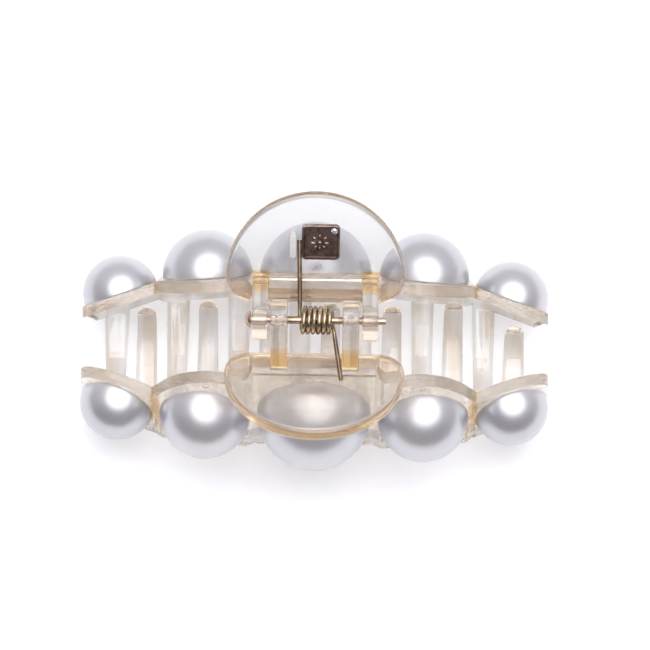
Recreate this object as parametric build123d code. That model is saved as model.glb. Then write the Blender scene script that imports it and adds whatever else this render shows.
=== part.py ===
"""Claw clip: two clear moulded jaws on a hinge pin, a torsion spring and ten half pearls.

X runs along the hinge pin, +Y is the side of the back jaw, +Z is up towards the thumb tabs.
The origin is under the middle of the clip, on the level of the lowest points of the teeth.
"""

import math
import os

from build123d import *

# ---- overall ---------------------------------------------------------------
PIN_HEIGHT = 38.65  # hinge axis above the lowest teeth
HALF_LENGTH = 41.2  # half the length of a jaw plate

# ---- jaw plate -------------------------------------------------------------
PLATE_T = 2.0
PLATE_TOP = -4.0  # where the raw plate ends before its top is scalloped, from the pin
CENTRE_LEAN = 18.0  # degrees from vertical, the bottom outwards
END_SLOPE = 0.2555  # outward travel per millimetre of drop on an end pad
CENTRE_EDGE = 10.6  # half width of the flat centre pad
MID_START = 12.0
MID_END = 27.2
END_START = 28.3
RAIL_Z = -36.97  # level where the curled lower edge has turned into the teeth
RAIL_HEADING = 190.0
RAIL_SWEEP = 94.0
END_SWEEP = 80.0
TIP_SWEEP = 25.0
TIP_START = 39.4  # the curled edge fades out from here to the plate's end

# ---- half pearls: place along X, distance from the pin in Y and Z, radius, yaw, lean
PEARLS = {
    "centre": (0.0, 12.33, -21.5, 10.0, 0.0, 18.0),
    "inner": (19.1, 12.44, -22.0, 8.0, 5.0, 17.935),
    "outer": (34.7, 9.81, -26.6, 6.7, 20.0, 13.503),
}

# ---- thumb tab -------------------------------------------------------------
TAB_ROOT = (4.18, -6.2)  # edge of the inner face nearest the pin
TAB_RISE = 38.0  # degrees above horizontal
TAB_HALF_WIDTH = 15.4
TAB_LENGTH = 20.6
TAB_CORNER = 4.5
TAB_T = 2.3
TAB_ROUND = 0.85
# thickened corner under the tab, as distance out and height from the pin
TAB_WEB = [(5.0, -7.5), (9.6, -4.9), (9.4, -6.4), (8.6, -10.0), (6.0, -10.0)]

# ---- hinge -----------------------------------------------------------------
PIN_R = 0.65
PIN_CLEARANCE = 0.05
PIN_LEFT = -10.95
PIN_RIGHT = 12.1
HEAD_R = 1.5
HEAD_T = 1.0
LUG_R = 3.45
BACK_LUG = (8.0, 10.8)
FRONT_LUG = (4.65, 7.55)
LUG_TOP = (8.6, -3.4)  # where the lug runs into the tab
LUG_FOOT = (7.0, -9.5)  # where the lug runs into the plate
LUG_ROUND = 0.35
BORE_LENGTH = 60.0

# ---- teeth -----------------------------------------------------------------
TOOTH_PITCH = 11.0
FIRST_TOOTH = -35.75
TEETH = 7
TOOTH_T = 1.8
TOOTH_W = 4.3
END_TOOTH_W = 4.8
TOOTH_TIP_W = 3.3
TOOTH_ROUND = 0.8
FLOOR_R = 38.0  # radius of the nearly flat run under the hair
FLOOR_HEADING = 170.0
TIP_R = 11.0
TIP_HEADING = 125.0
LOW_FLOOR_HEADING = 174.0  # the teeth under the end pads stay flatter
LOW_TIP_R = 10.0
END_FLOOR_HEADING = 180.0  # and the outermost ones are flat up to their tip
END_TIP_R = 8.5
TOOTH_OVERLAP = 1.0  # how far the tooth's root reaches into the curled edge
TRIM = 0.02

# ---- torsion spring --------------------------------------------------------
WIRE_R = 0.39
COIL_R = 2.1
COIL_TURNS = 6
COIL_LEFT = -2.3
COIL_RIGHT = 2.95
BACK_LEG = (-2.88, 13.6)  # X of the leg's end and its distance out along Y
FRONT_LEG = (4.6, 10.1)
LEG_GAP = 0.08  # air between a leg and the tab it bears on
BACK_BEND = (-0.3, 1.6, 0.12)  # from the coil's end to the start of the straight leg
FRONT_BEND = (0.3, -1.6, 0.02)

# ---- plaque, crystal and moulding marks on the tab -------------------------
PLAQUE = (6.5, 6.45, 0.7)
PLAQUE_PLACE = (0.8, 11.95)  # X, and distance along the tab from its root
PLAQUE_CORNER = 0.8
PLAQUE_BORDER = 0.55
PLAQUE_SINK = 0.25
PLAQUE_FIELD_CORNER = 0.4
BOSS_R = 1.5
BOSS_T = 0.2
BOSS_DROP = 0.05
CRYSTAL_R = 0.6
CRYSTAL_TABLE = 0.55  # table's width against the girdle's
CRYSTAL_CROWN = 0.25
CRYSTAL_PLACE = (3.1, 14.1)
RIDGE = (1.0, 4.5, 1.0)
RIDGE_PLACE = (-3.97, 11.4)
MARK_R = 1.0
MARK_WALL = 0.25
MARK_H = 0.12
MARK_ROOT = 0.1
MARK_PLACE = (-0.1, 7.0)
PAD_MARK_R = 0.6
PAD_MARK_DEPTH = 0.2
PAD_MARK_RISE = 9.9  # above the pearl's centre, along the pad


def lean_slope(x):
    """Outward travel per millimetre of drop of the plate's outer face at x."""
    return END_SLOPE if abs(x) >= END_START else math.tan(math.radians(CENTRE_LEAN))


def face_y(x, z):
    """Y of the plate's outer face at a height, both from the pin."""
    name = "outer" if abs(x) >= END_START else "inner" if abs(x) >= MID_START else "centre"
    px, py, pz, _, yaw, _ = PEARLS[name]
    along = abs(x) - px if name != "centre" else 0.0
    return py - along * math.tan(math.radians(yaw)) - (z - pz) * lean_slope(x)


def plate_foot(x):
    """Height at which the plate stops being flat and curls inwards."""
    return -33.2 if abs(x) >= END_START else -31.2


def curl(x):
    """Centre and radius of the curl's middle line, and its start angle, at x."""
    lean = math.degrees(math.atan(lean_slope(x)))
    start = math.radians(270.0 + lean)
    stop = math.radians(RAIL_HEADING)
    radius = (RAIL_Z - plate_foot(x)) / (math.cos(stop) - math.cos(start))
    half = PLATE_T / 2.0
    y = face_y(x, plate_foot(x)) - half * math.cos(math.radians(lean))
    z = plate_foot(x) - half * math.sin(math.radians(lean))
    centre = (y - radius * math.cos(math.radians(lean)), z - radius * math.sin(math.radians(lean)))
    return centre, radius, lean


def on_circle(centre, radius, angle):
    a = math.radians(angle)
    return (centre[0] + radius * math.cos(a), centre[1] + radius * math.sin(a))


def section(x, sweep):
    """Cross-section of the plate and its curled edge in the plane at x."""
    centre, radius, lean = curl(x)
    half = PLATE_T / 2.0
    inner_r = radius - half
    outer_r = radius + half
    outer_start = on_circle(centre, outer_r, lean)
    inner_start = on_circle(centre, inner_r, lean)
    rise = PLATE_TOP - outer_start[1]
    outer_top = (outer_start[0] - rise * lean_slope(x), PLATE_TOP)
    inner_rise = PLATE_TOP - inner_start[1]
    inner_top = (inner_start[0] - inner_rise * lean_slope(x), PLATE_TOP)
    outer_end = on_circle(centre, outer_r, lean - sweep)
    inner_end = on_circle(centre, inner_r, lean - sweep)
    outline = [
        Line(outer_top, outer_start),
        ThreePointArc(outer_start, on_circle(centre, outer_r, lean - sweep / 2.0), outer_end),
        Line(outer_end, inner_end),
        ThreePointArc(inner_end, on_circle(centre, inner_r, lean - sweep / 2.0), inner_start),
        Line(inner_start, inner_top),
        Line(inner_top, outer_top),
    ]
    plane = Plane(origin=(x, 0, PIN_HEIGHT), x_dir=(0, 1, 0), z_dir=(1, 0, 0))
    return plane * make_face(outline)


def scallop():
    """Front view of the plate: a raised middle, two wide pads and two low end pads."""
    right = [
        Line((0, -6.0), (11.2, -6.0)),
        Line((11.2, -6.0), (11.2, -9.5)),
        ThreePointArc((11.2, -9.5), (11.7, -10.8), (12.9, -11.3)),
        Line((12.9, -11.3), (17.5, -11.1)),
        ThreePointArc((17.5, -11.1), (24.2, -13.9), (28.4, -19.8)),
        ThreePointArc((28.4, -19.8), (34.2, -19.3), (39.0, -20.7)),
        ThreePointArc((39.0, -20.7), (40.6, -22.0), (HALF_LENGTH, -24.2)),
        Line((HALF_LENGTH, -24.2), (HALF_LENGTH, -45.0)),
        Line((HALF_LENGTH, -45.0), (0, -45.0)),
    ]
    left = [mirror(edge, about=Plane.YZ) for edge in right]
    plane = Plane(origin=(0, 0, PIN_HEIGHT), x_dir=(1, 0, 0), z_dir=(0, -1, 0))
    return plane * make_face(right + left)


def plate():
    stations = [CENTRE_EDGE, MID_START, MID_END, END_START, TIP_START, HALF_LENGTH]
    sweeps = [RAIL_SWEEP, RAIL_SWEEP, RAIL_SWEEP, END_SWEEP, END_SWEEP, TIP_SWEEP]
    cuts = [section(-x, s) for x, s in zip(reversed(stations), reversed(sweeps))]
    cuts += [section(x, s) for x, s in zip(stations, sweeps)]
    raw = loft(cuts, ruled=True)
    return raw & extrude(scallop(), amount=60.0, both=True)


def tab_plane():
    rise = math.radians(TAB_RISE)
    return Plane(
        origin=(0, TAB_ROOT[0], PIN_HEIGHT + TAB_ROOT[1]),
        x_dir=(1, 0, 0),
        z_dir=(0, -math.sin(rise), math.cos(rise)),
    )


def tab():
    """D-shaped thumb tab with a rounded rim, straight along its root."""
    side = TAB_HALF_WIDTH - TAB_CORNER
    outline = [
        Line((-side, 0), (side, 0)),
        RadiusArc((side, 0), (TAB_HALF_WIDTH, TAB_CORNER), -TAB_CORNER),
        EllipticalCenterArc((0, TAB_CORNER), TAB_HALF_WIDTH, TAB_LENGTH - TAB_CORNER, 0, arc_size=180),
        RadiusArc((-TAB_HALF_WIDTH, TAB_CORNER), (-side, 0), -TAB_CORNER),
    ]
    slab = extrude(tab_plane() * make_face(outline), amount=-TAB_T)
    broad = slab.faces().sort_by(SortBy.AREA)[-2:]
    return fillet([edge for face in broad for edge in face.edges()], TAB_ROUND)


def tab_web():
    """Fills the corner between the underside of the tab and the plate, across the flat middle."""
    plane = Plane(origin=(-CENTRE_EDGE, 0, PIN_HEIGHT), x_dir=(0, 1, 0), z_dir=(1, 0, 0))
    return extrude(plane * make_face(Polyline(*TAB_WEB, close=True)), amount=2 * CENTRE_EDGE)


def tangent_point(point, side):
    """Where a line from a point touches the lug's round end."""
    reach = math.hypot(*point)
    angle = math.atan2(point[1], point[0]) + side * math.acos(LUG_R / reach)
    return (LUG_R * math.cos(angle), LUG_R * math.sin(angle))


def lug(x_low, x_high):
    """One hinge ear between two X positions, round about the pin."""
    corners = [tangent_point(LUG_TOP, 1), LUG_TOP, LUG_FOOT, tangent_point(LUG_FOOT, -1)]
    plane = Plane(origin=(x_low, 0, PIN_HEIGHT), x_dir=(0, 1, 0), z_dir=(1, 0, 0))
    web = make_face(Polyline(*corners, close=True))
    ear = extrude(plane * (web + Circle(LUG_R)), amount=x_high - x_low)
    rims = [e for e in ear.edges() if abs(e.center().X - (x_low + x_high) / 2.0) > 1.0]
    return fillet(rims, LUG_ROUND)


def tooth(x):
    """One tooth: down off the plate, flat under the hair, up to a blunt tip on the far side."""
    centre, radius, lean = curl(x)
    outer_tooth = abs(x) > END_START
    outermost = outer_tooth and abs(x) > MID_END + TOOTH_PITCH / 2.0
    last = END_FLOOR_HEADING if outermost else LOW_FLOOR_HEADING if outer_tooth else FLOOR_HEADING
    tip_r = END_TIP_R if outermost else LOW_TIP_R if outer_tooth else TIP_R
    half = TOOTH_T / 2.0
    # centres of the three arcs, each tangent to the one before
    floor_centre = (
        centre[0] + (FLOOR_R - radius) * math.cos(math.radians(RAIL_HEADING - 90.0)),
        centre[1] + (FLOOR_R - radius) * math.sin(math.radians(RAIL_HEADING - 90.0)),
    )
    tip_centre = (
        floor_centre[0] + (FLOOR_R - tip_r) * math.cos(math.radians(last + 90.0)),
        floor_centre[1] + (FLOOR_R - tip_r) * math.sin(math.radians(last + 90.0)),
    )
    runs = [
        (centre, radius, lean, RAIL_HEADING - 270.0),
        (floor_centre, FLOOR_R, RAIL_HEADING - 270.0, last - 270.0),
        (tip_centre, tip_r, last - 270.0, TIP_HEADING - 270.0),
    ]
    outline = []
    for offset in (half, -half):
        for arc_centre, arc_r, start, stop in runs:
            r = arc_r + offset
            middle = (start + stop) / 2.0
            ends = [on_circle(arc_centre, r, a) for a in (start, middle, stop)]
            outline.append(ThreePointArc(*ends))
    head = [on_circle(centre, radius + side, lean) for side in (half, -half)]
    tail = [on_circle(tip_centre, tip_r + side, TIP_HEADING - 270.0) for side in (half, -half)]
    outline.append(Line(*head))
    outline.append(Line(*tail))
    plane = Plane(origin=(x, 0, PIN_HEIGHT), x_dir=(0, 1, 0), z_dir=(1, 0, 0))
    band = extrude(plane * make_face(outline), amount=END_TOOTH_W, both=True)
    root_y = max(p[0] for p in head) + TOOTH_OVERLAP
    tip_y = min(p[0] for p in tail) - TRIM
    w = (END_TOOTH_W if outermost else TOOTH_W) / 2.0
    tip = TOOTH_TIP_W / 2.0
    taper = Polyline((x - w, root_y), (x + w, root_y), (x + tip, tip_y), (x - tip, tip_y), close=True)
    # the plan starts at the ground, so it also trims the lowest run of the tooth to a flat foot
    blade = band & extrude(make_face(taper), amount=PIN_HEIGHT)
    beside = TOOTH_TIP_W / 3.0
    long_edges = [e for e in blade.edges() if e.length > TOOTH_TIP_W * 0.8 and abs(e.center().X - x) > beside]
    blade = fillet(long_edges, TOOTH_ROUND)
    blunt = [
        Line((x - 2 * w, root_y), (x + 2 * w, root_y)),
        Line((x + 2 * w, root_y), (x + 2 * w, tip_y + tip)),
        Line((x + 2 * w, tip_y + tip), (x + tip, tip_y + tip)),
        ThreePointArc((x + tip, tip_y + tip), (x, tip_y), (x - tip, tip_y + tip)),
        Line((x - tip, tip_y + tip), (x - 2 * w, tip_y + tip)),
        Line((x - 2 * w, tip_y + tip), (x - 2 * w, root_y)),
    ]
    return blade & extrude(make_face(blunt), amount=PIN_HEIGHT)


def tab_block(place, size, corner):
    """A rounded block standing on the tab's inner face."""
    spot = tab_plane() * Pos(place[0], place[1], 0)
    return extrude(spot * RectangleRounded(size[0], size[1], corner), amount=size[2])


def pad_plane(name, side):
    """Plane of a pad's outer face on the back jaw at its pearl's centre, Z outwards."""
    x, y, z, _, yaw, lean = PEARLS[name]
    turn = math.radians(yaw)
    rise = math.radians(lean)
    normal = (
        side * math.sin(turn) * math.cos(rise),
        math.cos(turn) * math.cos(rise),
        math.sin(rise),
    )
    along = (-math.cos(turn), side * math.sin(turn), 0)
    return Plane(origin=(side * x, y, PIN_HEIGHT + z), x_dir=along, z_dir=normal)


def jaw_body(lug_span, bore_r):
    """The back jaw. The front jaw is the same moulding turned round, with other lugs."""
    body = plate() + tab() + tab_web()
    for side in (1, -1):
        low, high = sorted((side * lug_span[0], side * lug_span[1]))
        body += lug(low, high)
    for k in range(TEETH):
        body += tooth(FIRST_TOOTH + k * TOOTH_PITCH)
    for side in (1, -1):
        spot = pad_plane("inner", side) * Pos(0, PAD_MARK_RISE, -PAD_MARK_DEPTH)
        body -= extrude(spot * Circle(PAD_MARK_R), amount=PLATE_T)
    bore = Cylinder(bore_r, BORE_LENGTH, rotation=(0, 90, 0))
    return body - Pos(0, 0, PIN_HEIGHT) * bore


def tab_trim():
    """Stop ridge beside the spring leg and a round ejector mark, on the back tab only."""
    ridge = tab_block(RIDGE_PLACE, RIDGE, RIDGE[0] * 0.45)
    spot = tab_plane() * Pos(MARK_PLACE[0], MARK_PLACE[1], -MARK_ROOT)
    ring = Circle(MARK_R) - Circle(MARK_R - MARK_WALL)
    return ridge + extrude(spot * ring, amount=MARK_H + MARK_ROOT)


def half_pearl(name, side):
    """Half a ball, flat on its pad."""
    radius = PEARLS[name][3]
    plane = pad_plane(name, side)
    dome = Sphere(radius) & Pos(0, 0, radius) * Box(3 * radius, 3 * radius, 2 * radius)
    return plane * dome


def hinge_pin():
    """Plain shank with a domed head on its left end."""
    length = PIN_RIGHT - PIN_LEFT
    shank = Cylinder(PIN_R, length, rotation=(0, 90, 0))
    shank = Pos((PIN_LEFT + PIN_RIGHT) / 2.0, 0, PIN_HEIGHT) * shank
    dome_r = (HEAD_R**2 + HEAD_T**2) / (2.0 * HEAD_T)
    ball = Pos(PIN_LEFT - HEAD_T + dome_r, 0, PIN_HEIGHT) * Sphere(dome_r)
    keep = Pos(PIN_LEFT - HEAD_T / 2.0, 0, PIN_HEIGHT) * Box(HEAD_T, 4 * HEAD_R, 4 * HEAD_R)
    return shank + (ball & keep)


def tab_height(y):
    """Height of the tab's inner face above the pin's level at a distance out."""
    return TAB_ROOT[1] + (y - TAB_ROOT[0]) * math.tan(math.radians(TAB_RISE))


def leg_end(reach):
    """Height of a leg's middle line where it bears on the tab."""
    return tab_height(reach) + (WIRE_R + LEG_GAP) / math.cos(math.radians(TAB_RISE))


def torsion_spring():
    """Close-wound coil about the pin, both legs leaving it from below."""
    pitch = (COIL_RIGHT - COIL_LEFT) / COIL_TURNS
    coil = Helix(pitch=pitch, height=COIL_RIGHT - COIL_LEFT, radius=COIL_R, lefthand=True)
    # the helix starts on its local X axis, which is turned to point straight down
    frame = Plane(origin=(COIL_LEFT, 0, PIN_HEIGHT), x_dir=(0, 0, -1), z_dir=(1, 0, 0))
    coil = frame * coil
    start = coil @ 0
    stop = coil @ 1
    back_tip = (BACK_LEG[0], BACK_LEG[1], PIN_HEIGHT + leg_end(BACK_LEG[1]))
    front_tip = (FRONT_LEG[0], -FRONT_LEG[1], PIN_HEIGHT + leg_end(FRONT_LEG[1]))
    back_bend = (start.X + BACK_BEND[0], BACK_BEND[1], start.Z + BACK_BEND[2])
    front_bend = (stop.X + FRONT_BEND[0], FRONT_BEND[1], stop.Z + FRONT_BEND[2])
    back_leg = Line(back_tip, back_bend)
    front_leg = Line(front_bend, front_tip)
    back_turn = Spline(back_bend, start, tangents=(back_leg % 1, coil % 0))
    front_turn = Spline(stop, front_bend, tangents=(coil % 1, front_leg % 0))
    path = Wire([back_leg, back_turn, coil, front_turn, front_leg])
    profile = Plane(origin=back_tip, z_dir=back_leg % 0) * Circle(WIRE_R)
    return sweep(profile, path=path, is_frenet=True)


def on_tab(place, rise):
    """Plane parallel to the tab's inner face, a rise above it."""
    return tab_plane() * Pos(place[0], place[1], rise)


def plaque():
    """Small metal plate with a raised border and a plain boss."""
    width, height, thick = PLAQUE
    block = tab_block(PLAQUE_PLACE, PLAQUE, PLAQUE_CORNER)
    floor = thick - PLAQUE_SINK
    inner_width = width - 2 * PLAQUE_BORDER
    inner_height = height - 2 * PLAQUE_BORDER
    outline = RectangleRounded(inner_width, inner_height, PLAQUE_FIELD_CORNER)
    field = extrude(on_tab(PLAQUE_PLACE, floor) * outline, amount=thick)
    boss = on_tab(PLAQUE_PLACE, floor + BOSS_DROP) * Cylinder(BOSS_R, BOSS_T)
    seat = on_tab(CRYSTAL_PLACE, thick / 2.0) * Circle(CRYSTAL_R)
    return block - field + boss - extrude(seat, amount=thick)


def plaque_crystal():
    """Round cut stone set into the plaque's upper right corner."""
    half = PLAQUE[2] / 2.0
    girdle = extrude(on_tab(CRYSTAL_PLACE, half) * Circle(CRYSTAL_R), amount=half)
    crown = Cone(CRYSTAL_R, CRYSTAL_R * CRYSTAL_TABLE, CRYSTAL_CROWN)
    return girdle + on_tab(CRYSTAL_PLACE, PLAQUE[2] + CRYSTAL_CROWN / 2.0) * crown


def save(shape, node):
    export_step(shape, f"parts/{node}.step")


os.makedirs("parts", exist_ok=True)

turned = Rot(0, 0, 180)
save(jaw_body(BACK_LUG, PIN_R) + tab_trim(), "back_jaw")
save(turned * jaw_body(FRONT_LUG, PIN_R + PIN_CLEARANCE), "front_jaw")

SPOTS = [
    ("centre_pearl", "centre", 1),
    ("left_inner_pearl", "inner", -1),
    ("right_inner_pearl", "inner", 1),
    ("left_outer_pearl", "outer", -1),
    ("right_outer_pearl", "outer", 1),
]
for node, name, side in SPOTS:
    save(half_pearl(name, side), f"back_{node}")
    save(turned * half_pearl(name, -side), f"front_{node}")

save(hinge_pin(), "hinge_pin")
save(torsion_spring(), "torsion_spring")
save(plaque(), "plaque")
save(plaque_crystal(), "plaque_crystal")
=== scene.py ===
import math

import bmesh
import bpy
from mathutils import Matrix, Vector


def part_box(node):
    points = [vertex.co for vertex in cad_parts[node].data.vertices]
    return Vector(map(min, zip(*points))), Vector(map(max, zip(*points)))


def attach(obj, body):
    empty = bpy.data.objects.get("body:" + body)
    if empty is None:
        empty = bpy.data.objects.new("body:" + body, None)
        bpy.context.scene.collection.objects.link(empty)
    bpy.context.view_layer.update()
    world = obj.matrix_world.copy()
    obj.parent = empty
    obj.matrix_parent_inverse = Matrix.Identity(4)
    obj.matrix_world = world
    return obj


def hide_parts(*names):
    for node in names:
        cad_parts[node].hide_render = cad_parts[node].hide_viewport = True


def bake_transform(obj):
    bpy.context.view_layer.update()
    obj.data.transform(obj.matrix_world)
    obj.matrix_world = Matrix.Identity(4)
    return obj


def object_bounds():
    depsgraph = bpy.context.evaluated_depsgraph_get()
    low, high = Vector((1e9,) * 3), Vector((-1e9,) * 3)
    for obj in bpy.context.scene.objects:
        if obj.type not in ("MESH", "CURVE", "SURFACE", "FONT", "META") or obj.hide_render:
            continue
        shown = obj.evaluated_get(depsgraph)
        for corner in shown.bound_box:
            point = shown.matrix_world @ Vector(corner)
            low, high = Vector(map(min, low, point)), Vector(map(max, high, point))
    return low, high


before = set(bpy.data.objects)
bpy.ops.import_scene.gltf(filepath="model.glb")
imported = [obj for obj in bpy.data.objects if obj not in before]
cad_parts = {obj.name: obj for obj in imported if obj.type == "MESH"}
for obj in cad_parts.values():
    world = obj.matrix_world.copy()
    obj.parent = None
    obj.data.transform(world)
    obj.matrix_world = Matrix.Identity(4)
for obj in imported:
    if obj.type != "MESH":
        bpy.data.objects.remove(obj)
cad_low, cad_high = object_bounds()

MM = 0.001
PIN_LEVEL = sum(corner.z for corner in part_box("hinge_pin")) / 2
TAB_RISE = 38.0  # degrees from level, both thumb tabs
# inner edge of a tab's upper face: distance out from the pin, and height
TAB_ROOT = (4.18 * MM, PIN_LEVEL - 6.2 * MM)

# ---------------------------------------------------------------- helpers


def clear_selection():
    """Leave edit mode and deselect everything, the loaded CAD nodes included."""
    if bpy.context.object is not None and bpy.context.object.mode != "OBJECT":
        bpy.ops.object.mode_set(mode="OBJECT")
    bpy.ops.object.select_all(action="DESELECT")


def work_on(piece):
    clear_selection()
    bpy.context.view_layer.objects.active = piece
    piece.select_set(True)


def settle(piece):
    """Put the piece's place, turn and size into its mesh."""
    work_on(piece)
    bpy.ops.object.transform_apply(location=True, rotation=True, scale=True)
    clear_selection()
    return piece


def pick_faces(piece, wanted):
    """In edit mode, select only the faces whose centre and normal pass the test."""
    mesh = bmesh.from_edit_mesh(piece.data)
    bpy.ops.mesh.select_all(action="DESELECT")
    bpy.context.tool_settings.mesh_select_mode = (False, False, True)
    for face in mesh.faces:
        if wanted(face.calc_center_median(), face.normal):
            face.select_set(True)
    bmesh.update_edit_mesh(piece.data)


def pick_edges(piece, wanted):
    """In edit mode, select only the edges whose two ends pass the test."""
    mesh = bmesh.from_edit_mesh(piece.data)
    bpy.ops.mesh.select_all(action="DESELECT")
    bpy.context.tool_settings.mesh_select_mode = (False, True, False)
    for edge in mesh.edges:
        if wanted(edge.verts[0].co, edge.verts[1].co):
            edge.select_set(True)
    bmesh.update_edit_mesh(piece.data)


def smooth(piece, degrees):
    work_on(piece)
    bpy.ops.object.shade_smooth_by_angle(angle=math.radians(degrees))
    clear_selection()


def own_copy(piece, name):
    twin = piece.copy()
    twin.data = piece.data.copy()
    twin.name = name
    bpy.context.scene.collection.objects.link(twin)
    return twin


def dress(piece, material):
    piece.data.materials.clear()
    piece.data.materials.append(material)


# ---------------------------------------------------------------- materials

# a Mix node has sockets for several kinds of value, and these are the ones for colours
MIX_FACTOR, MIX_FIRST, MIX_SECOND, MIX_RESULT = 0, 6, 7, 2


def srgb(code):
    """A six-digit sRGB colour as linear RGBA."""
    values = [int(code[i : i + 2], 16) / 255.0 for i in (0, 2, 4)]
    linear = [v / 12.92 if v <= 0.04045 else ((v + 0.055) / 1.055) ** 2.4 for v in values]
    return (*linear, 1.0)


def grey(value):
    return (value, value, value, 1.0)


def add_node(tree, kind, settings=None, inputs=None, stops=None):
    """One node with its settings. An input is a value, or a link given as (node, output).
    Stops are the places and colours along a colour ramp."""
    made = tree.nodes.new(kind)
    for key, value in (settings or {}).items():
        setattr(made, key, value)
    for key, value in (inputs or {}).items():
        if isinstance(value, tuple) and isinstance(value[0], bpy.types.Node):
            source, output = value
            tree.links.new(source.outputs[output], made.inputs[key])
        else:
            made.inputs[key].default_value = value
    for _ in (stops or [])[2:]:
        made.color_ramp.elements.new(0.5)
    for i, (place, colour) in enumerate(stops or []):
        made.color_ramp.elements[i].position = place
        made.color_ramp.elements[i].color = colour
    return made


def start_material(name):
    material = bpy.data.materials.new(name)
    material.use_nodes = True
    material.node_tree.nodes.clear()
    return material, material.node_tree


# where amber is painted, standing in for light that runs a long way through deep clear plastic: the
# middle of each range and half its width
BACK_EAR_X = (9.4 * MM, 1.5 * MM)
BACK_EAR_Y = (7.2 * MM, 1.9 * MM)
FRONT_EAR_X = (6.1 * MM, 1.5 * MM)
FRONT_EAR_Y = (-6.2 * MM, 1.8 * MM)
EAR_Z = (PIN_LEVEL - 2.6 * MM, 2.6 * MM)
TAB_ROOT_Y = (4.3 * MM, 1.1 * MM)
TAB_ROOT_Z = (PIN_LEVEL - 7.2 * MM, 1.5 * MM)
TAB_FOOT = PIN_LEVEL - 8.6 * MM
EARS_OUTER_X = 11.4 * MM
EARS_OUTER_Y = 9.2 * MM
SIDE_BAND_X = (27.8 * MM, 0.8 * MM)
SIDE_BAND_Z = (14.0 * MM, 6.0 * MM)
WEB_X = (0.0, 15.5 * MM)
WEB_Y = (6.7 * MM, 3.3 * MM)
WEB_Z = (PIN_LEVEL - 7.2 * MM, 2.9 * MM)
WEB_STRENGTH = 0.45


def inside(tree, *ranges):
    """1 where every coordinate lies in its range, else 0. Each range is a link to the coordinate,
    and the middle and half width."""
    mask = None
    for coordinate, (middle, half) in ranges:
        hit = add_node(
            tree,
            "ShaderNodeMath",
            {"operation": "COMPARE"},
            {0: coordinate, 1: middle, 2: half},
        )
        if mask is None:
            mask = hit
        else:
            mask = add_node(
                tree,
                "ShaderNodeMath",
                {"operation": "MULTIPLY"},
                {0: (mask, "Value"), 1: (hit, "Value")},
            )
    return mask


def painted_ear_amber(tree, parts, width):
    """1 on the thick corners where the hinge ears run into the tabs, else 0: the mask of painted
    amber, standing in for light that runs a long way through the thick plastic there.
    """
    back = inside(
        tree, ((width, "Value"), BACK_EAR_X), ((parts, "Y"), BACK_EAR_Y), ((parts, "Z"), EAR_Z)
    )
    front = inside(
        tree, ((width, "Value"), FRONT_EAR_X), ((parts, "Y"), FRONT_EAR_Y), ((parts, "Z"), EAR_Z)
    )
    return add_node(
        tree, "ShaderNodeMath", {"operation": "ADD"}, {0: (back, "Value"), 1: (front, "Value")}
    )


def painted_rim_amber(tree, place, parts, width, depth):
    """Rises to 1 on the rounded rims of the two thumb tabs, 0 on their faces and everywhere else: a
    mask for the painted golden glow of light that has crossed a whole tab from side to side."""
    facing = add_node(tree, "ShaderNodeSeparateXYZ", inputs={"Vector": (place, "Normal")})
    side = add_node(tree, "ShaderNodeMath", {"operation": "SIGN"}, {0: (parts, "Y")})
    outward = add_node(
        tree, "ShaderNodeMath", {"operation": "MULTIPLY"}, {0: (side, "Value"), 1: (facing, "Y")}
    )
    slope = math.radians(TAB_RISE)
    lean = add_node(
        tree,
        "ShaderNodeMath",
        {"operation": "MULTIPLY"},
        {0: (outward, "Value"), 1: -math.sin(slope)},
    )
    flatness = add_node(
        tree,
        "ShaderNodeMath",
        {"operation": "MULTIPLY_ADD"},
        {0: (facing, "Z"), 1: math.cos(slope), 2: (lean, "Value")},
    )
    flat = add_node(tree, "ShaderNodeMath", {"operation": "ABSOLUTE"}, {0: (flatness, "Value")})
    edge = add_node(
        tree,
        "ShaderNodeMapRange",
        inputs={
            "Value": (flat, "Value"),
            "From Min": 0.35,
            "From Max": 0.93,
            "To Min": 1.0,
            "To Max": 0.0,
        },
    )
    beside_ears = add_node(
        tree,
        "ShaderNodeMath",
        {"operation": "GREATER_THAN"},
        {0: (width, "Value"), 1: EARS_OUTER_X},
    )
    past_ears = add_node(
        tree,
        "ShaderNodeMath",
        {"operation": "GREATER_THAN"},
        {0: (depth, "Value"), 1: EARS_OUTER_Y},
    )
    clear_of_ears = add_node(
        tree,
        "ShaderNodeMath",
        {"operation": "MAXIMUM"},
        {0: (beside_ears, "Value"), 1: (past_ears, "Value")},
    )
    root = inside(tree, ((depth, "Value"), TAB_ROOT_Y), ((parts, "Z"), TAB_ROOT_Z))
    rim_or_root = add_node(
        tree,
        "ShaderNodeMath",
        {"operation": "MAXIMUM"},
        {0: (clear_of_ears, "Value"), 1: (root, "Value")},
    )
    above_foot = add_node(
        tree, "ShaderNodeMath", {"operation": "GREATER_THAN"}, {0: (parts, "Z"), 1: TAB_FOOT}
    )
    on_tabs = add_node(
        tree,
        "ShaderNodeMath",
        {"operation": "MULTIPLY"},
        {0: (rim_or_root, "Value"), 1: (above_foot, "Value")},
    )
    return add_node(
        tree,
        "ShaderNodeMath",
        {"operation": "MULTIPLY"},
        {0: (edge, "Result"), 1: (on_tabs, "Value")},
    )


def painted_web_cream(tree, parts, width, depth):
    """Painted amber at part strength on the thickened corner under each tab and on the tab's root,
    else 0, standing in for light that runs a long way through the plastic there.
    """
    corner = inside(
        tree, ((depth, "Value"), WEB_Y), ((parts, "Z"), WEB_Z), ((width, "Value"), WEB_X)
    )
    return add_node(
        tree, "ShaderNodeMath", {"operation": "MULTIPLY"}, {0: (corner, "Value"), 1: WEB_STRENGTH}
    )


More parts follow.
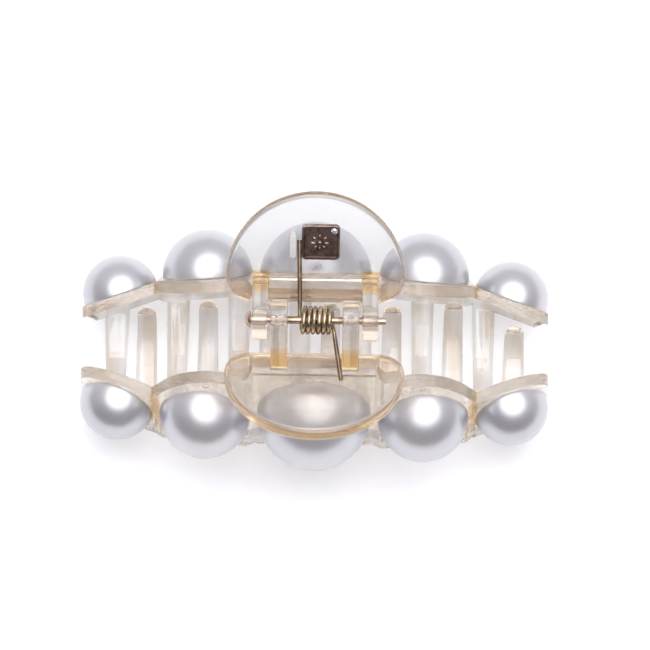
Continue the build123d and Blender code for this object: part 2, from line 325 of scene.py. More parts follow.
def strongest_painted_amber(tree, place, parts):
    """The strongest of the painted amber patches at each spot, all standing in for light that runs a
    long way through the plastic.
    """
    width = add_node(tree, "ShaderNodeMath", {"operation": "ABSOLUTE"}, {0: (parts, "X")})
    depth = add_node(tree, "ShaderNodeMath", {"operation": "ABSOLUTE"}, {0: (parts, "Y")})
    strongest = painted_ear_amber(tree, parts, width)
    for patch in (
        painted_rim_amber(tree, place, parts, width, depth),
        # a band of painted amber on each side of the clip
        inside(tree, ((width, "Value"), SIDE_BAND_X), ((parts, "Z"), SIDE_BAND_Z)),
        painted_web_cream(tree, parts, width, depth),
    ):
        strongest = add_node(
            tree,
            "ShaderNodeMath",
            {"operation": "MAXIMUM"},
            {0: (strongest, "Value"), 1: (patch, "Value")},
        )
    return strongest


def plastic_tone(tree, place, parts, flow, below_tabs, on_teeth):
    """Colour of the clear plastic: smooth tabs, warmer plates, streaked teeth and painted amber light
    on rims and thick corners.
    """
    streaks = add_node(
        tree,
        "ShaderNodeValToRGB",
        inputs={"Fac": (flow, "Fac")},
        stops=[(0.36, srgb("d6cdc2")), (0.46, srgb("dbd7d1")), (0.62, srgb("e4e3e2"))],
    )
    back_side = add_node(
        tree, "ShaderNodeMath", {"operation": "GREATER_THAN"}, {0: (parts, "Y"), 1: 0.0}
    )
    # the front tab has yellowed a little more than the back one
    tab_tone = add_node(
        tree,
        "ShaderNodeMix",
        {"data_type": "RGBA"},
        {
            MIX_FACTOR: (back_side, "Value"),
            MIX_FIRST: srgb("eae6e1"),
            MIX_SECOND: srgb("e2e3e5"),
        },
    )
    wall_tone = add_node(
        tree,
        "ShaderNodeMix",
        {"data_type": "RGBA"},
        {
            MIX_FACTOR: (below_tabs, "Color"),
            MIX_FIRST: (tab_tone, MIX_RESULT),
            MIX_SECOND: srgb("faf5ed"),
        },
    )
    tooth_tone = add_node(
        tree,
        "ShaderNodeMix",
        {"data_type": "RGBA"},
        {
            MIX_FACTOR: (on_teeth, "Color"),
            MIX_FIRST: (wall_tone, MIX_RESULT),
            MIX_SECOND: (streaks, "Color"),
        },
    )
    return add_node(
        tree,
        "ShaderNodeMix",
        {"data_type": "RGBA"},
        {
            MIX_FACTOR: (strongest_painted_amber(tree, place, parts), "Value"),
            MIX_FIRST: (tooth_tone, MIX_RESULT),
            # painted amber: the golden look of light that has run a long way through the plastic
            MIX_SECOND: srgb("e8c590"),
        },
    )


def pin_crazing(tree, place):
    """Fine crackle on the skin of the pin holes, 0 elsewhere. Real crazing is finer than 0.45 mm,
    and this is drawn as coarse as it needs to show."""
    from_pin = add_node(
        tree,
        "ShaderNodeVectorMath",
        {"operation": "MULTIPLY_ADD"},
        {0: (place, "Object"), 1: (0.0, 1.0, 1.0), 2: (0.0, 0.0, -PIN_LEVEL)},
    )
    reach = add_node(
        tree, "ShaderNodeVectorMath", {"operation": "LENGTH"}, {0: (from_pin, "Vector")}
    )
    in_hole = add_node(
        tree,
        "ShaderNodeMapRange",
        inputs={
            "Value": (reach, "Value"),
            "From Min": 0.8 * MM,
            "From Max": 1.2 * MM,
            "To Min": 1.0,
            "To Max": 0.0,
        },
    )
    crackle = add_node(
        tree,
        "ShaderNodeTexNoise",
        inputs={"Vector": (place, "Object"), "Scale": 1 / (0.4545 * MM), "Detail": 1.0},
    )
    return add_node(
        tree,
        "ShaderNodeMath",
        {"operation": "MULTIPLY"},
        {0: (crackle, "Fac"), 1: (in_hole, "Result")},
    )


def champagne_plastic():
    """Clear injection-moulded plastic with a champagne cast: thin walls look water-clear, edges and
    thick roots are painted golden to stand in for light that runs a long way through them, and a
    trace of haze keeps the long paths creamy. Flow lines run down the teeth, the plates are mottled
    where the pearls' glue has bitten them, and the pin holes are crazed."""
    material, tree = start_material("champagne_clear_plastic")
    place = add_node(tree, "ShaderNodeTexCoord")
    parts = add_node(tree, "ShaderNodeSeparateXYZ", inputs={"Vector": (place, "Object")})
    # flow lines about 2.4 mm apart across the clip and 17 mm long
    stretch = add_node(
        tree,
        "ShaderNodeMapping",
        inputs={
            "Vector": (place, "Object"),
            "Scale": (1 / (2.381 * MM), 1 / (16.667 * MM), 1 / (16.667 * MM)),
        },
    )
    flow = add_node(
        tree,
        "ShaderNodeTexNoise",
        inputs={"Vector": (stretch, "Vector"), "Scale": 1.0, "Detail": 2.0, "Roughness": 0.5},
    )
    # blotches of glue about 1.5 mm across
    mottle = add_node(
        tree,
        "ShaderNodeTexNoise",
        inputs={
            "Vector": (place, "Object"),
            "Scale": 1 / (1.5385 * MM),
            "Detail": 2.0,
            "Roughness": 0.55,
        },
    )
    level = add_node(
        tree,
        "ShaderNodeMapRange",
        inputs={"Value": (parts, "Z"), "From Min": 0.0, "From Max": 40.0 * MM},
    )
    # the mottle stays on the plates, above the clear teeth and below the smooth tabs
    below_tabs = add_node(
        tree,
        "ShaderNodeValToRGB",
        inputs={"Fac": (level, "Result")},
        stops=[(0.24, grey(0.0)), (0.36, grey(1.0)), (0.68, grey(1.0)), (0.76, grey(0.06))],
    )
    glue_bite = add_node(
        tree,
        "ShaderNodeMath",
        {"operation": "MULTIPLY"},
        {0: (mottle, "Fac"), 1: (below_tabs, "Color")},
    )
    # the streaks stay on the teeth, where the melt flowed to their tips
    on_teeth = add_node(
        tree,
        "ShaderNodeValToRGB",
        inputs={"Fac": (level, "Result")},
        stops=[(0.24, grey(1.0)), (0.3, grey(0.0))],
    )
    flow_teeth = add_node(
        tree,
        "ShaderNodeMath",
        {"operation": "MULTIPLY"},
        {0: (flow, "Fac"), 1: (on_teeth, "Color")},
    )
    lines = add_node(
        tree,
        "ShaderNodeBump",
        inputs={"Height": (flow_teeth, "Value"), "Strength": 0.6, "Distance": 0.5 * MM},
    )
    ripple = add_node(
        tree,
        "ShaderNodeBump",
        inputs={
            "Height": (glue_bite, "Value"),
            "Normal": (lines, "Normal"),
            "Strength": 0.4,
            "Distance": 0.2 * MM,
        },
    )
    holes = add_node(
        tree,
        "ShaderNodeBump",
        inputs={
            "Height": (pin_crazing(tree, place), "Value"),
            "Normal": (ripple, "Normal"),
            "Strength": 1.0,
            "Distance": 0.6 * MM,
        },
    )
    polish = add_node(
        tree,
        "ShaderNodeMapRange",
        inputs={"Value": (glue_bite, "Value"), "To Min": 0.03, "To Max": 0.3},
    )
    tone = plastic_tone(tree, place, parts, flow, below_tabs, on_teeth)
    clear = add_node(
        tree,
        "ShaderNodeBsdfPrincipled",
        inputs={
            "Base Color": (tone, MIX_RESULT),
            "Roughness": (polish, "Result"),
            "Normal": (holes, "Normal"),
            "IOR": 1.5,
            "Transmission Weight": 0.95,
        },
    )
    # the lamp's light passes straight through to the floor, so the shadow stays pale
    rays = add_node(tree, "ShaderNodeLightPath")
    through = add_node(tree, "ShaderNodeBsdfTransparent", inputs={"Color": srgb("fcfcfd")})
    surface = add_node(
        tree,
        "ShaderNodeMixShader",
        inputs={0: (rays, "Is Shadow Ray"), 1: (clear, "BSDF"), 2: (through, "BSDF")},
    )
    tint = add_node(
        tree,
        "ShaderNodeVolumeAbsorption",
        inputs={"Color": (0.88, 0.60, 0.24, 1.0), "Density": 13.0},
    )
    add_node(
        tree,
        "ShaderNodeOutputMaterial",
        inputs={"Surface": (surface, "Shader"), "Volume": (tint, "Volume")},
    )
    return material


def pearl_lacquer():
    """Pearlescent lacquer on a plastic half ball: a soft silvery shine under a thin gloss coat, with
    a faint lilac and cream drift and the slight orange-peel of a dipped finish."""
    material, tree = start_material("pearl_lacquer")
    place = add_node(tree, "ShaderNodeTexCoord")
    # the drift is about as wide as a half pearl
    drift = add_node(
        tree,
        "ShaderNodeTexNoise",
        inputs={
            "Vector": (place, "Object"),
            "Scale": 1 / (11.11 * MM),
            "Detail": 2.0,
            "Roughness": 0.5,
        },
    )
    tone = add_node(
        tree,
        "ShaderNodeValToRGB",
        inputs={"Fac": (drift, "Fac")},
        stops=[(0.3, srgb("bfbfc3")), (0.5, srgb("c3c3c6")), (0.7, srgb("c8c6c8"))],
    )
    # orange-peel with dimples 0.7 mm apart
    peel = add_node(
        tree,
        "ShaderNodeTexNoise",
        inputs={"Vector": (place, "Object"), "Scale": 1 / (0.7143 * MM), "Detail": 1.0},
    )
    skin = add_node(
        tree,
        "ShaderNodeBump",
        inputs={"Height": (peel, "Fac"), "Strength": 0.05, "Distance": 0.02 * MM},
    )
    shine = add_node(
        tree, "ShaderNodeMapRange", inputs={"Value": (drift, "Fac"), "To Min": 0.29, "To Max": 0.35}
    )
    lacquer = add_node(
        tree,
        "ShaderNodeBsdfPrincipled",
        inputs={
            "Base Color": (tone, "Color"),
            "Roughness": (shine, "Result"),
            "Normal": (skin, "Normal"),
            "Metallic": 0.72,
            "IOR": 1.55,
            "Coat Weight": 0.2,
            "Coat Roughness": 0.16,
            "Coat IOR": 1.5,
        },
    )
    add_node(tree, "ShaderNodeOutputMaterial", inputs={"Surface": (lacquer, "BSDF")})
    return material


def worn_metal(name, dark, light, polished, rough, patch_size, outer_darkening):
    """Plated metal with uneven darkening in random patches, fine drawing marks in its gloss, and a
    darker brown away from the pin axis."""
    material, tree = start_material(name)
    place = add_node(tree, "ShaderNodeTexCoord")
    parts = add_node(tree, "ShaderNodeSeparateXYZ", inputs={"Vector": (place, "Object")})
    patch = add_node(
        tree,
        "ShaderNodeTexNoise",
        inputs={
            "Vector": (place, "Object"),
            "Scale": 1 / patch_size,
            "Detail": 4.0,
            "Roughness": 0.6,
        },
    )
    tone = add_node(
        tree,
        "ShaderNodeValToRGB",
        inputs={"Fac": (patch, "Fac")},
        stops=[(0.35, srgb(dark)), (0.65, srgb(light))],
    )
    gloss = add_node(
        tree,
        "ShaderNodeMapRange",
        inputs={"Value": (patch, "Fac"), "To Min": polished, "To Max": rough},
    )
    # real drawing marks are finer, and these are drawn a sixth of a patch apart to show
    scratch = add_node(
        tree,
        "ShaderNodeTexNoise",
        inputs={"Vector": (place, "Object"), "Scale": 6 / patch_size, "Detail": 2.0},
    )
    marks = add_node(
        tree,
        "ShaderNodeBump",
        inputs={"Height": (scratch, "Fac"), "Strength": 0.12, "Distance": 0.03 * MM},
    )
    # darker brown from 2.4 mm to 4 mm out from the pin axis onwards; on the spring wire that is its
    # two legs
    depth = add_node(tree, "ShaderNodeMath", {"operation": "ABSOLUTE"}, {0: (parts, "Y")})
    outer_dark = add_node(
        tree,
        "ShaderNodeMapRange",
        inputs={
            "Value": (depth, "Value"),
            "From Min": 2.4 * MM,
            "From Max": 4.0 * MM,
            "To Min": 0.0,
            "To Max": outer_darkening,
        },
    )
    outer_toned = add_node(
        tree,
        "ShaderNodeMix",
        {"data_type": "RGBA"},
        {
            MIX_FACTOR: (outer_dark, "Result"),
            MIX_FIRST: (tone, "Color"),
            MIX_SECOND: srgb("5b4636"),
        },
    )
    metal = add_node(
        tree,
        "ShaderNodeBsdfPrincipled",
        inputs={
            "Base Color": (outer_toned, MIX_RESULT),
            "Roughness": (gloss, "Result"),
            "Normal": (marks, "Normal"),
            "Metallic": 1.0,
        },
    )
    add_node(tree, "ShaderNodeOutputMaterial", inputs={"Surface": (metal, "BSDF")})
    return material


def frosted_plastic():
    """The same moulding plastic made white: rough, milky and only half see-through."""
    material, tree = start_material("frosted_plastic_milky")
    place = add_node(tree, "ShaderNodeTexCoord")
    # milky speckles about 1.1 mm across
    speckle = add_node(
        tree,
        "ShaderNodeTexNoise",
        inputs={"Vector": (place, "Object"), "Scale": 1 / (1.1111 * MM), "Detail": 2.0},
    )
    tone = add_node(
        tree,
        "ShaderNodeValToRGB",
        inputs={"Fac": (speckle, "Fac")},
        stops=[(0.35, srgb("ece8e1")), (0.65, srgb("faf8f4"))],
    )
    milk = add_node(
        tree,
        "ShaderNodeBsdfPrincipled",
        inputs={
            "Base Color": (tone, "Color"),
            "Roughness": 0.5,
            "IOR": 1.5,
            "Transmission Weight": 0.4,
        },
    )
    add_node(tree, "ShaderNodeOutputMaterial", inputs={"Surface": (milk, "BSDF")})
    return material


def cut_crystal():
    """Cut glass with a foil back, which throws the light back like a mirror, slightly cool."""
    material, tree = start_material("cut_crystal")
    place = add_node(tree, "ShaderNodeTexCoord")
    # painted fire: patches of cool and white about half as wide as the stone, standing in for flashes
    # of light off the cut facets
    painted_fire = add_node(
        tree,
        "ShaderNodeTexNoise",
        inputs={"Vector": (place, "Object"), "Scale": 1 / (0.6667 * MM), "Detail": 1.0},
    )
    tone = add_node(
        tree,
        "ShaderNodeValToRGB",
        inputs={"Fac": (painted_fire, "Fac")},
        stops=[(0.4, srgb("dfe6f2")), (0.6, srgb("ffffff"))],
    )
    stone = add_node(
        tree,
        "ShaderNodeBsdfPrincipled",
        inputs={"Base Color": (tone, "Color"), "Metallic": 0.85, "Roughness": 0.06},
    )
    add_node(tree, "ShaderNodeOutputMaterial", inputs={"Surface": (stone, "BSDF")})
    return material


def studio_paper():
    """Matt white paper under the clip."""
    material, tree = start_material("studio_paper")
    place = add_node(tree, "ShaderNodeTexCoord")
    # real fibres are far finer than these clouds of 3 mm
    fibre = add_node(
        tree,
        "ShaderNodeTexNoise",
        inputs={"Vector": (place, "Object"), "Scale": 1 / (3.3333 * MM), "Detail": 3.0},
    )
    tone = add_node(
        tree,
        "ShaderNodeValToRGB",
        inputs={"Fac": (fibre, "Fac")},
        stops=[(0.3, srgb("f9f9f9")), (0.7, srgb("fcfcfc"))],
    )
    paper = add_node(
        tree,
        "ShaderNodeBsdfPrincipled",
        inputs={"Base Color": (tone, "Color"), "Roughness": 0.9, "Specular IOR Level": 0.1},
    )
    add_node(tree, "ShaderNodeOutputMaterial", inputs={"Surface": (paper, "BSDF")})
    return material


PLASTIC = champagne_plastic()
PEARL = pearl_lacquer()
# drawn wire: bright on the coil, darker brown along the two legs
SPRING_BRASS = worn_metal(
    "antique_brass_wire",
    dark="7a6853",
    light="cfbda3",
    polished=0.14,
    rough=0.26,
    patch_size=2.0 * MM,
    outer_darkening=0.75,
)
# drawn rod, pinkish and satin, the same colour all along
PIN_BRASS = worn_metal(
    "antique_brass_pin",
    dark="8c7765",
    light="cdb7a2",
    polished=0.18,
    rough=0.3,
    patch_size=2.8571 * MM,
    outer_darkening=0.0,
)
# stamped sheet, darkened all over and dull
PLAQUE_BRONZE = worn_metal(
    "dark_bronze_plate",
    dark="77635a",
    light="a8938a",
    polished=0.22,
    rough=0.36,
    patch_size=1.6667 * MM,
    outer_darkening=0.0,
)
CRYSTAL = cut_crystal()
FROST = frosted_plastic()

# ---------------------------------------------------------------- jaws


def dress_jaw(name):
    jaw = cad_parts[name]
    dress(jaw, PLASTIC)


# ---------------------------------------------------------------- half pearls

# radius, yaw and lean of each size of half pearl, its flat back glued to a pad of the jaw
PEARL_SIZES = {
    "centre": (10.0 * MM, 0.0, 18.0),
    "inner": (8.0 * MM, 5.0, 17.935),
    "outer": (6.7 * MM, 20.0, 13.503),
}
PEARL_LIFT = 0.03 * MM  # glue film between a pad and its half pearl


def half_ball(radius):
    """A ball cut in half, its rim eased and its flat back closed, dome along +Z."""

    def on_rim(a, b):
        return max(abs(a.z), abs(b.z)) < 1e-6 and min(a.length, b.length) > radius * 0.99

    clear_selection()
    bpy.ops.mesh.primitive_uv_sphere_add(segments=96, ring_count=48, radius=radius)
    ball = bpy.context.object
    bpy.ops.object.mode_set(mode="EDIT")
    bpy.ops.mesh.select_all(action="SELECT")
    bpy.ops.mesh.bisect(plane_co=(0, 0, 0), plane_no=(0, 0, 1), use_fill=True, clear_inner=True)
    pick_faces(ball, lambda centre, normal: normal.z < -0.9)
    bpy.ops.mesh.inset(thickness=radius * 0.06)
    pick_edges(ball, on_rim)
    bpy.ops.mesh.bevel(offset=radius * 0.02, segments=3)
    bpy.ops.object.mode_set(mode="OBJECT")
    return ball


def pad_normal(side, jaw, yaw, lean):
    """Outward direction of a pad: side is -1, 0 or 1 along X, jaw is -1 front or 1 back."""
    turn, rise = math.radians(yaw), math.radians(lean)
    return Vector(
        (
            side * math.sin(turn) * math.cos(rise),
            jaw * math.cos(turn) * math.cos(rise),
            math.sin(rise),
        )
    )


def ball_centre(node, normal, radius):
    """Where the ball's centre is, from the box of its half."""
    low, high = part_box(node)
    return Vector(
        [high[i] - radius if normal[i] >= 0 else low[i] + radius for i in range(3)]
    )


def set_pearls():
    for size, (radius, yaw, lean) in PEARL_SIZES.items():
        pattern = half_ball(radius - PEARL_LIFT)
        smooth(pattern, 40)
        for jaw_name, jaw in (("back", 1), ("front", -1)):
            for side_name, side in (("left", -1), ("right", 1)):
                if size == "centre" and side > 0:
                    continue
                label = "centre" if size == "centre" else f"{side_name}_{size}"
                node = f"{jaw_name}_{label}_pearl"
                normal = pad_normal(0 if size == "centre" else side, jaw, yaw, lean)
                pearl = own_copy(pattern, f"{jaw_name}_{label}_half_pearl")
                turn = normal.to_track_quat("Z", "Y")
                pearl.rotation_mode = "QUATERNION"
                pearl.rotation_quaternion = turn
                pearl.location = ball_centre(node, normal, radius) + normal * PEARL_LIFT
                settle(pearl)
                pearl.rotation_mode = "XYZ"
                dress(pearl, PEARL)
                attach(pearl, jaw_name)
                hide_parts(node)
        bpy.data.objects.remove(pattern)


# ---------------------------------------------------------------- hinge pin

SHANK_R = 0.65 * MM
HEAD_T = 1.0 * MM
SHANK_EASE = 0.12 * MM
HEAD_EASE = 0.1 * MM


def set_pin():
    """Drawn shank with an eased end, and a domed head hammered on the other."""
    low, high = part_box("hinge_pin")
    head_r = (high.z - low.z) / 2
    shank_low = low.x + HEAD_T
    length = high.x - shank_low
    clear_selection()
    bpy.ops.mesh.primitive_cylinder_add(
        vertices=48,
        radius=SHANK_R,
        depth=length,
        location=((shank_low + high.x) / 2, 0, PIN_LEVEL),
        rotation=(0, math.radians(90), 0),
    )
    shank = settle(bpy.context.object)
    work_on(shank)
    bpy.ops.object.mode_set(mode="EDIT")
    pick_edges(shank, lambda a, b: min(a.x, b.x) > high.x - 1e-6)
    bpy.ops.mesh.bevel(offset=SHANK_EASE, segments=3)
    bpy.ops.object.mode_set(mode="OBJECT")
    dome_r = (head_r**2 + HEAD_T**2) / (2 * HEAD_T)
    clear_selection()
    bpy.ops.mesh.primitive_uv_sphere_add(
        segments=64,
        ring_count=48,
        radius=dome_r,
        location=(low.x + dome_r, 0, PIN_LEVEL),
        rotation=(0, math.radians(90), 0),
    )
    head = settle(bpy.context.object)
    work_on(head)
    bpy.ops.object.mode_set(mode="EDIT")
    bpy.ops.mesh.select_all(action="SELECT")
    bpy.ops.mesh.bisect(
        plane_co=(shank_low, 0, 0), plane_no=(-1, 0, 0), use_fill=True, clear_inner=True
    )
    pick_edges(head, lambda a, b: min(a.x, b.x) > shank_low - 1e-6)
    bpy.ops.mesh.bevel(offset=HEAD_EASE, segments=3)
    bpy.ops.object.mode_set(mode="OBJECT")
    clear_selection()
    head.select_set(True)
    shank.select_set(True)
    bpy.context.view_layer.objects.active = shank
    bpy.ops.object.join()
    pin = bpy.context.object
    pin.name = "riveted_hinge_pin"
    smooth(pin, 40)
    dress(pin, PIN_BRASS)
    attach(pin, "back")
    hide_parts("hinge_pin")


# ---------------------------------------------------------------- torsion spring

WIRE_R = 0.39 * MM
COIL_R = 2.1 * MM
COIL_LEFT = -2.3 * MM
COIL_RIGHT = 2.95 * MM
COIL_TURNS = 6
STEPS_PER_TURN = 40
LEG_STEPS = 12
BEND_STEPS = 8
LEG_GAP = 0.08 * MM  # air between a leg and the tab it bears on
BACK_LEG_END = (-2.88 * MM, 13.6 * MM)  # along X, and out from the pin
FRONT_LEG_END = (4.6 * MM, 10.1 * MM)
BACK_BEND = Vector((-0.3 * MM, 1.6 * MM, 0.12 * MM))  # from the coil's end to the straight leg
FRONT_BEND = Vector((0.3 * MM, -1.6 * MM, 0.02 * MM))


def above_tab(out):
    """Height of a leg's middle line, resting on a tab at a distance out from the pin."""
    rise = math.radians(TAB_RISE)
    root_out, root_height = TAB_ROOT
    return root_height + (out - root_out) * math.tan(rise) + (WIRE_R + LEG_GAP) / math.cos(rise)


def spring_route():
    """Middle line of the wire in three lists of points: the back leg, the coil and the front leg."""
    back_x, back_out = BACK_LEG_END
    front_x, front_out = FRONT_LEG_END
    back_tip = Vector((back_x, back_out, above_tab(back_out)))
    front_tip = Vector((front_x, -front_out, above_tab(front_out)))
    coil = []
    steps = COIL_TURNS * STEPS_PER_TURN
    for i in range(steps + 1):
        angle = math.radians(-90.0 - 360.0 * COIL_TURNS * i / steps)
        x = COIL_LEFT + (COIL_RIGHT - COIL_LEFT) * i / steps
        coil.append(Vector((x, COIL_R * math.cos(angle), PIN_LEVEL + COIL_R * math.sin(angle))))
    back_bend, front_bend = coil[0] + BACK_BEND, coil[-1] + FRONT_BEND
    back_leg = [back_tip.lerp(back_bend, i / LEG_STEPS) for i in range(LEG_STEPS + 1)]
    front_leg = [front_bend.lerp(front_tip, i / LEG_STEPS) for i in range(LEG_STEPS + 1)]
    return back_leg, coil, front_leg


def bend_between(start, start_way, end, end_way):
    """Points of a smooth bend between two ends, leaving out the ends themselves."""
    reach = (end - start).length * 0.4
    a, b = start + start_way.normalized() * reach, end - end_way.normalized() * reach
    points = []
    for i in range(1, BEND_STEPS):
        t = i / BEND_STEPS
        points.append(
            start * (1 - t) ** 3 + a * 3 * t * (1 - t) ** 2 + b * 3 * t * t * (1 - t) + end * t**3
        )
    return points


def set_spring():
    back_leg, coil, front_leg = spring_route()
    first = bend_between(back_leg[-1], back_leg[-1] - back_leg[-2], coil[0], coil[1] - coil[0])
    last = bend_between(coil[-1], coil[-1] - coil[-2], front_leg[0], front_leg[1] - front_leg[0])
    route = back_leg + first + coil + last + front_leg
    clear_selection()
    bpy.ops.curve.primitive_nurbs_path_add()
    wire = bpy.context.object
    wire.data.splines.clear()
    line = wire.data.splines.new("POLY")
    line.points.add(len(route) - 1)
    for point, place in zip(line.points, route):
        point.co = (*place, 1.0)
    wire.location = (0, 0, 0)
    wire.data.dimensions = "3D"
    wire.data.bevel_depth = WIRE_R
    wire.data.bevel_resolution = 6
    wire.data.use_fill_caps = True
    work_on(wire)
    bpy.ops.object.convert(target="MESH")
    spring = bpy.context.object
    spring.name = "torsion_spring_wire"
    smooth(spring, 50)
    dress(spring, SPRING_BRASS)
    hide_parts("torsion_spring")
    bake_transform(spring)


# ---------------------------------------------------------------- plaque and crystal


def tab_frame():
    """Turn and origin of the back tab's inner face: X across, Y along the tab, Z off the face."""
    return Matrix.Translation((0, *TAB_ROOT)) @ Matrix.Rotation(math.radians(TAB_RISE), 4, "X")


# sizes and places on the tab's face
PLAQUE_SIZE = (6.5 * MM, 6.45 * MM, 0.7 * MM)
PLAQUE_PLACE = (0.8 * MM, 11.95 * MM)
PLAQUE_CORNER = 0.8 * MM
PLAQUE_GAP = 0.02 * MM
RIM_BEVEL = 0.14 * MM
RIM_WIDTH = 0.24 * MM
RIM_RISE = 0.06 * MM
RIM_EASE = 0.08 * MM
FIELD_SLOPE = 0.16 * MM
FIELD_DROP = 0.3 * MM
ROSETTE_SHIFT = -0.2 * MM  # towards the corner away from the crystal
ROSETTE_R = 1.15 * MM
ROSETTE_LEVEL = 0.47 * MM
DOME_SCALE = (0.5, 0.5, 0.34)  # of a bead 1 mm in radius
PETAL_SCALE = (0.55, 0.3, 0.26)
PETALS = 8
RIDGE_SIZE = (1.06 * MM, 4.56 * MM, 1.05 * MM)
RIDGE_PLACE = (-3.97 * MM, 11.4 * MM, 0.53 * MM)
RIDGE_ROUND = 0.47 * MM
RIDGE_TOP_INSET = 0.08 * MM
RIDGE_TOP_RISE = 0.03 * MM
CRYSTAL_R = 0.6 * MM
CRYSTAL_PLACE = (3.1 * MM, 14.1 * MM, 0.55 * MM)
CRYSTAL_T = 0.5 * MM
CROWN_BEVEL = 0.16 * MM
TABLE_INSET = 0.12 * MM
TABLE_RISE = 0.1 * MM


def plaque_plate():
    """Stamped plate: rounded corners, a raised rim and a sunken field."""
    width, height, thick = PLAQUE_SIZE
    middle_x, middle_y = PLAQUE_PLACE

    def on_outline(a, b):
        from_middle = max(abs(a.x - middle_x) / width, abs(a.y - middle_y) / height)
        return min(a.z, b.z) > thick * 0.98 and from_middle > 0.49

    clear_selection()
    bpy.ops.mesh.primitive_cube_add(size=1.0)
    plate = bpy.context.object
    plate.scale = (width, height, thick)
    plate.location = (*PLAQUE_PLACE, thick / 2 + PLAQUE_GAP)
    settle(plate)
    work_on(plate)
    bpy.ops.object.mode_set(mode="EDIT")
    pick_edges(plate, lambda a, b: abs(a.z - b.z) > thick * 0.9)
    bpy.ops.mesh.bevel(offset=PLAQUE_CORNER, segments=8)
    pick_faces(plate, lambda c, n: n.z > 0.9)
    bpy.ops.mesh.inset(thickness=RIM_BEVEL)
    bpy.ops.transform.translate(value=(0, 0, RIM_RISE))
    bpy.ops.mesh.inset(thickness=RIM_WIDTH)
    bpy.ops.mesh.inset(thickness=FIELD_SLOPE)
    bpy.ops.transform.translate(value=(0, 0, -FIELD_DROP))
    pick_edges(plate, on_outline)
    bpy.ops.mesh.bevel(offset=RIM_EASE, segments=2)
    bpy.ops.object.mode_set(mode="OBJECT")
    return plate


def rosette_bead(scale, turn, place):
    """A flattened bead of the plaque's plain flower."""
    clear_selection()
    bpy.ops.mesh.primitive_uv_sphere_add(segments=24, ring_count=12, radius=1.0 * MM)
    bead = bpy.context.object
    bead.scale = scale
    bead.rotation_euler = (0, 0, turn)
    bead.location = place
    return settle(bead)


def rosette():
    """Flower of petals round a middle dome."""
    middle = Vector((PLAQUE_PLACE[0] + ROSETTE_SHIFT, PLAQUE_PLACE[1] + ROSETTE_SHIFT, ROSETTE_LEVEL))
    beads = [rosette_bead(DOME_SCALE, 0, middle)]
    for k in range(PETALS):
        turn = math.radians(360.0 / PETALS * k)
        outward = Vector((math.cos(turn), math.sin(turn), 0))
        beads.append(rosette_bead(PETAL_SCALE, turn, middle + outward * ROSETTE_R))
    return beads


def set_plaque():
    place = tab_frame()
    parts = [plaque_plate(), *rosette()]
    clear_selection()
    for part in parts:
        part.select_set(True)
    bpy.context.view_layer.objects.active = parts[0]
    bpy.ops.object.join()
    plaque = bpy.context.object
    plaque.name = "bronze_plaque"
    plaque.matrix_world = place
    settle(plaque)
    smooth(plaque, 35)
    dress(plaque, PLAQUE_BRONZE)
    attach(plaque, "back")
    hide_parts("plaque")


def set_ridge_frost():
    """Whitened skin on the stop ridge beside the spring's back leg."""
    clear_selection()
    bpy.ops.mesh.primitive_cube_add(size=1.0)
    skin = bpy.context.object
    skin.scale = RIDGE_SIZE
    skin.location = RIDGE_PLACE
    settle(skin)
    work_on(skin)
    bpy.ops.object.mode_set(mode="EDIT")
    pick_edges(skin, lambda a, b: abs(a.z - b.z) > RIDGE_SIZE[2] / 2)
    bpy.ops.mesh.bevel(offset=RIDGE_ROUND, segments=6)
    pick_faces(skin, lambda c, n: n.z > 0.9)
    bpy.ops.mesh.inset(thickness=RIDGE_TOP_INSET)
    bpy.ops.transform.translate(value=(0, 0, RIDGE_TOP_RISE))
    bpy.ops.object.mode_set(mode="OBJECT")
    skin.name = "stop_ridge_frost"
    skin.matrix_world = tab_frame()
    settle(skin)
    smooth(skin, 40)
    dress(skin, FROST)
    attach(skin, "back")


def set_crystal():
    """Round cut stone: a sixteen-sided girdle, a sloping crown and a raised table."""
    clear_selection()
    bpy.ops.mesh.primitive_cylinder_add(vertices=16, radius=CRYSTAL_R, depth=CRYSTAL_T)
    stone = bpy.context.object
    stone.location = CRYSTAL_PLACE
    settle(stone)
    work_on(stone)
    bpy.ops.object.mode_set(mode="EDIT")
    top = CRYSTAL_PLACE[2] + CRYSTAL_T / 2
    pick_edges(stone, lambda a, b: min(a.z, b.z) > top * 0.99)
    bpy.ops.mesh.bevel(offset=CROWN_BEVEL, segments=1)
    pick_faces(stone, lambda c, n: n.z > 0.95)
    bpy.ops.mesh.inset(thickness=TABLE_INSET)
    bpy.ops.transform.translate(value=(0, 0, TABLE_RISE))
    bpy.ops.object.mode_set(mode="OBJECT")
    stone.name = "cut_crystal_stone"
    stone.matrix_world = tab_frame()
    settle(stone)
    dress(stone, CRYSTAL)
    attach(stone, "back")
    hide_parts("plaque_crystal")


# ---------------------------------------------------------------- studio


def set_floor():
    clear_selection()
    bpy.ops.mesh.primitive_plane_add(size=6.0, location=(0, 0, cad_low.z))
    floor = bpy.context.object
    floor.name = "studio_floor"
    dress(floor, studio_paper())


def set_softbox():
    """Large round softbox overhead, a little behind and to the right, faintly cool."""
    place, aim = Vector((0.06, 0.05, 0.85)), Vector((0, 0, 0.02))
    lamp = bpy.data.lights.new("overhead_softbox", "AREA")
    lamp.shape = "DISK"
    lamp.size = 1.45
    lamp.spread = math.radians(100.0)  # a grid fades the softbox towards its edge
    lamp.energy = 5.7
    lamp.color = (0.97, 0.985, 1.03)
    light = bpy.data.objects.new("overhead_softbox", lamp)
    light.location = place
    light.rotation_euler = (aim - place).to_track_quat("-Z", "Y").to_euler()
    bpy.context.scene.collection.objects.link(light)


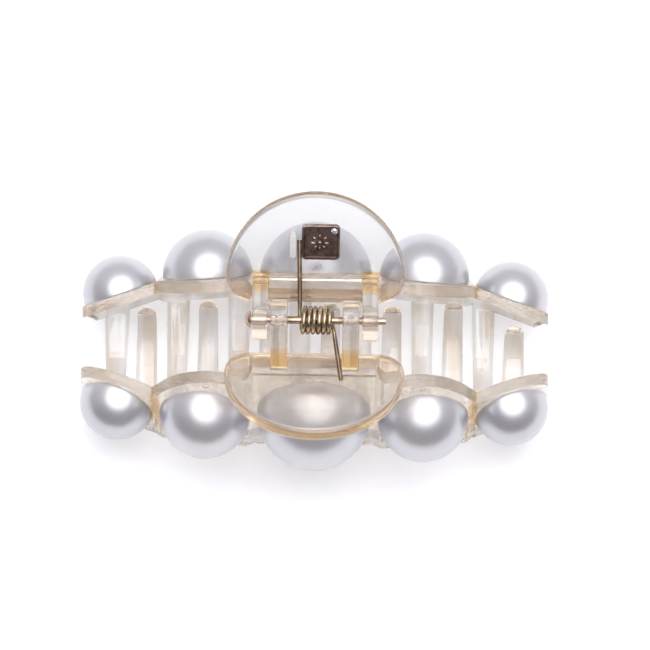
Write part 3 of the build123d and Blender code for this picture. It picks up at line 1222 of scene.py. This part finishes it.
def set_surround():
    """Studio walls: a dim one in front of the clip, rising to a pale one behind it."""
    world = bpy.data.worlds.new("studio_walls")
    bpy.context.scene.world = world
    world.use_nodes = True
    tree = world.node_tree
    place = add_node(tree, "ShaderNodeTexCoord")
    parts = add_node(tree, "ShaderNodeSeparateXYZ", inputs={"Vector": (place, "Generated")})
    depth = add_node(
        tree,
        "ShaderNodeMapRange",
        inputs={"Value": (parts, "Y"), "From Min": -1.0, "From Max": 1.0},
    )
    wall = add_node(
        tree,
        "ShaderNodeValToRGB",
        inputs={"Fac": (depth, "Result")},
        stops=[(0.25, srgb("857f82")), (0.5, srgb("bfbabd")), (0.8, srgb("dddadd"))],
    )
    tree.links.new(wall.outputs["Color"], tree.nodes["Background"].inputs["Color"])


CAMERA_TILT = 11.5  # degrees off straight down
CAMERA_ROLL = 0.9
CAMERA_DISTANCE = 650.0 * MM
CAMERA_RIGHT = 1.704 * MM
CAMERA_DOWN = 0.801 * MM
LENS = 211.268  # millimetres, on a sensor 36 mm wide


def set_camera():
    """Camera nearly straight above the pin, leaning a little to the front jaw's side."""
    tilt, roll = math.radians(CAMERA_TILT), math.radians(CAMERA_ROLL)
    pin = Vector((0, 0, PIN_LEVEL))
    towards = Vector((0, -math.sin(tilt), math.cos(tilt)))
    plain_right = Vector((1, 0, 0))
    plain_up = Vector((0, math.cos(tilt), math.sin(tilt)))
    right = plain_right * math.cos(roll) + plain_up * math.sin(roll)
    up = plain_up * math.cos(roll) - plain_right * math.sin(roll)
    place = pin + towards * CAMERA_DISTANCE + right * CAMERA_RIGHT - up * CAMERA_DOWN
    data = bpy.data.cameras.new("studio_camera")
    data.sensor_width = 36.0
    data.lens = LENS
    data.clip_start = 0.01
    data.clip_end = 20.0
    camera = bpy.data.objects.new("studio_camera", data)
    turn = Matrix((right, up, towards)).transposed()
    camera.matrix_world = Matrix.Translation(place) @ turn.to_4x4()
    bpy.context.scene.collection.objects.link(camera)
    bpy.context.scene.camera = camera


dress_jaw("back_jaw")
dress_jaw("front_jaw")
set_pearls()
set_pin()
set_spring()
set_plaque()
set_crystal()
set_ridge_frost()
set_floor()
set_surround()
set_softbox()
set_camera()
bpy.context.scene.view_settings.view_transform = "Standard"
# light runs a long way along the inside of the clear walls before it leaves them
LONG_PATH = 40
bpy.context.scene.cycles.max_bounces = LONG_PATH
bpy.context.scene.cycles.transmission_bounces = LONG_PATH
bpy.context.scene.cycles.glossy_bounces = LONG_PATH
bpy.context.scene.cycles.transparent_max_bounces = LONG_PATH
